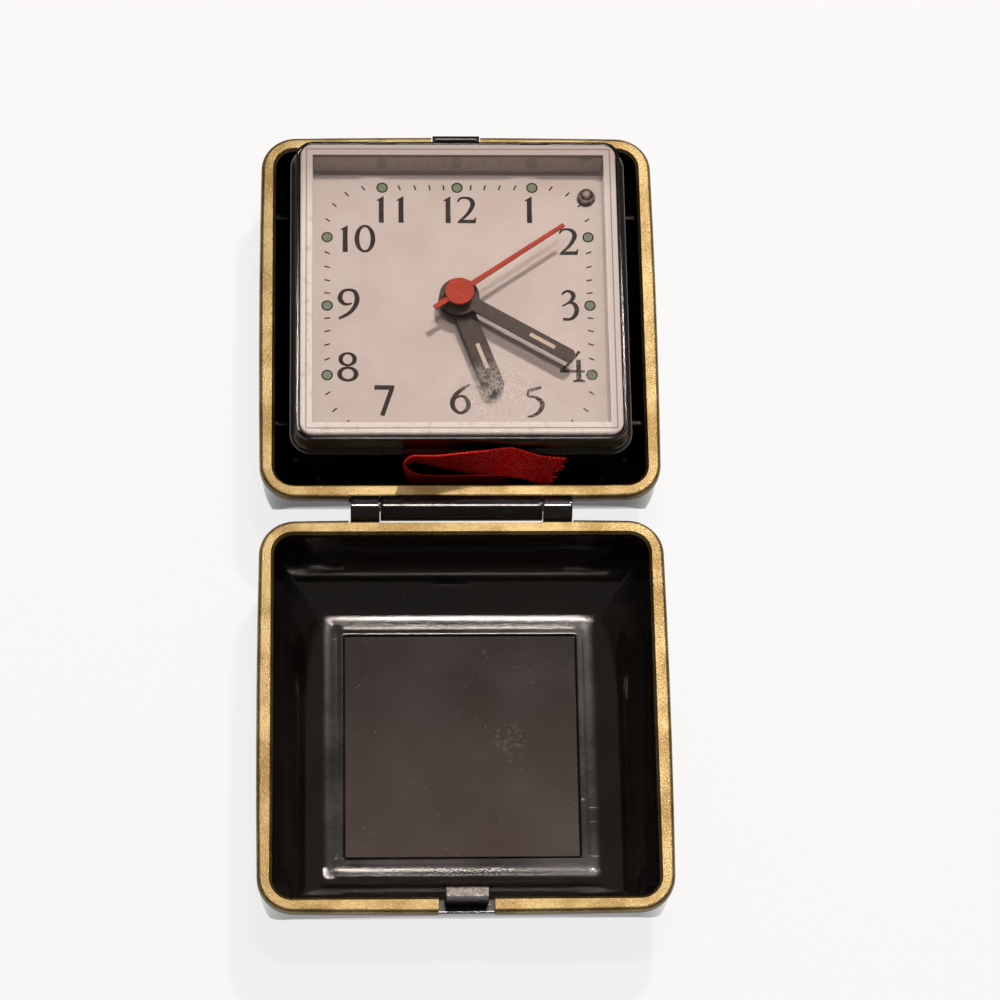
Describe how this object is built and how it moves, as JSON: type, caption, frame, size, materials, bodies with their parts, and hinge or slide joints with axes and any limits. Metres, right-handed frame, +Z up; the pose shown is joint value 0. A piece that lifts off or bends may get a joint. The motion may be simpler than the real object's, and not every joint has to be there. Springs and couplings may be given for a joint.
{
  "type": "folding travel alarm clock",
  "caption": "Folding travel alarm clock lying open: black clamshell case with gilt rims, square dial under a clear cap, luminous hands, red pull ribbon.",
  "frame": {"origin": "middle of the footprint of the opened clock, on the table", "axes": "+X along the hinge, +Y from the lid to the base with the clock, +Z up from the table"},
  "size_m": [0.07, 0.144, 0.0304],
  "materials": {
    "case_black": "satin black moulded plastic",
    "panel_black": "matt black plastic plate",
    "gilt": "satin gilt, slightly worn",
    "steel": "plain steel",
    "clear": "clear moulded plastic",
    "dial_white": "pale silvered dial",
    "lamp_clear": "clear lens",
    "movement_grey": "moulded movement case",
    "buzzer_brass": "brass",
    "cell_metal": "plain metal can",
    "knob_black": "matt black plastic",
    "hand_black": "black painted",
    "hand_red": "orange-red painted",
    "lume": "pale luminous fill",
    "collar_green": "dark green",
    "ribbon_red": "red woven ribbon"
  },
  "bodies": {
    "base": {"base_shell": "case_black", "base_rim": "gilt", "hinge_pin": "steel"},
    "lid": {"lid_shell": "case_black", "lid_rim": "gilt", "lid_panel": "panel_black", "latch_hook": "case_black"},
    "button": {"latch_button": "case_black"},
    "module": {"module_frame": "case_black", "module_back": "case_black", "crystal": "clear", "dial": "dial_white", "lamp": "lamp_clear", "movement": "movement_grey", "buzzer": "buzzer_brass", "battery": "cell_metal", "contact_plus": "steel", "contact_minus": "steel", "battery_door": "case_black", "screw_1": "steel", "screw_2": "steel", "screw_3": "steel", "screw_4": "steel", "ribbon": "ribbon_red"},
    "second": {"second_hand": "hand_red", "second_arbor": "steel"},
    "minute": {"minute_hand": "hand_black", "minute_lume": "lume", "minute_tube": "buzzer_brass"},
    "hour": {"hour_hand": "hand_black", "hour_lume": "lume", "hour_collar": "collar_green", "hour_tube": "buzzer_brass"},
    "alarm": {"alarm_hand": "hand_black", "alarm_tube": "buzzer_brass"},
    "time_set": {"time_knob": "knob_black"},
    "alarm_set": {"alarm_knob": "knob_black"},
    "switch": {"alarm_switch": "knob_black"}
  },
  "joints": [
    {"name": "lid_hinge", "type": "hinge", "parent": "base", "child": "lid", "pos_m": [0, 0, 0.02015], "axis": [-1, 0, 0], "range_deg": [0, 180]},
    {"name": "latch_push", "type": "slide", "parent": "base", "child": "button", "axis": [0, -1, 0], "range_m": [0, 0.0008], "stiffness_N_per_m": 500, "springref_m": -0.0008},
    {"name": "module_lift", "type": "slide", "parent": "base", "child": "module", "axis": [0, 0, -1], "range_m": [-0.03, 0]},
    {"name": "second_turn", "type": "hinge", "parent": "module", "child": "second", "pos_m": [0, 0.0373, 0.022], "axis": [0, 0, -1], "continuous": true},
    {"name": "minute_turn", "type": "hinge", "parent": "module", "child": "minute", "pos_m": [0, 0.0373, 0.022], "axis": [0, 0, -1], "continuous": true},
    {"name": "hour_turn", "type": "hinge", "parent": "module", "child": "hour", "pos_m": [0, 0.0373, 0.022], "axis": [0, 0, -1], "continuous": true},
    {"name": "alarm_turn", "type": "hinge", "parent": "module", "child": "alarm", "pos_m": [0, 0.0373, 0.022], "axis": [0, 0, -1], "continuous": true},
    {"name": "time_set_turn", "type": "hinge", "parent": "module", "child": "time_set", "pos_m": [0.011, 0.0433, 0.004], "axis": [0, 0, -1], "continuous": true},
    {"name": "alarm_set_turn", "type": "hinge", "parent": "module", "child": "alarm_set", "pos_m": [-0.011, 0.0433, 0.004], "axis": [0, 0, -1], "continuous": true},
    {"name": "alarm_slide", "type": "slide", "parent": "module", "child": "switch", "axis": [1, 0, 0], "range_m": [0, 0.003]}
  ],
  "couplings": [
    {"joint": "second_turn", "follows": "minute_turn", "ratio": 60},
    {"joint": "hour_turn", "follows": "minute_turn", "ratio": 0.083333},
    {"joint": "time_set_turn", "follows": "minute_turn", "ratio": 1},
    {"joint": "alarm_set_turn", "follows": "alarm_turn", "ratio": -4}
  ]
}
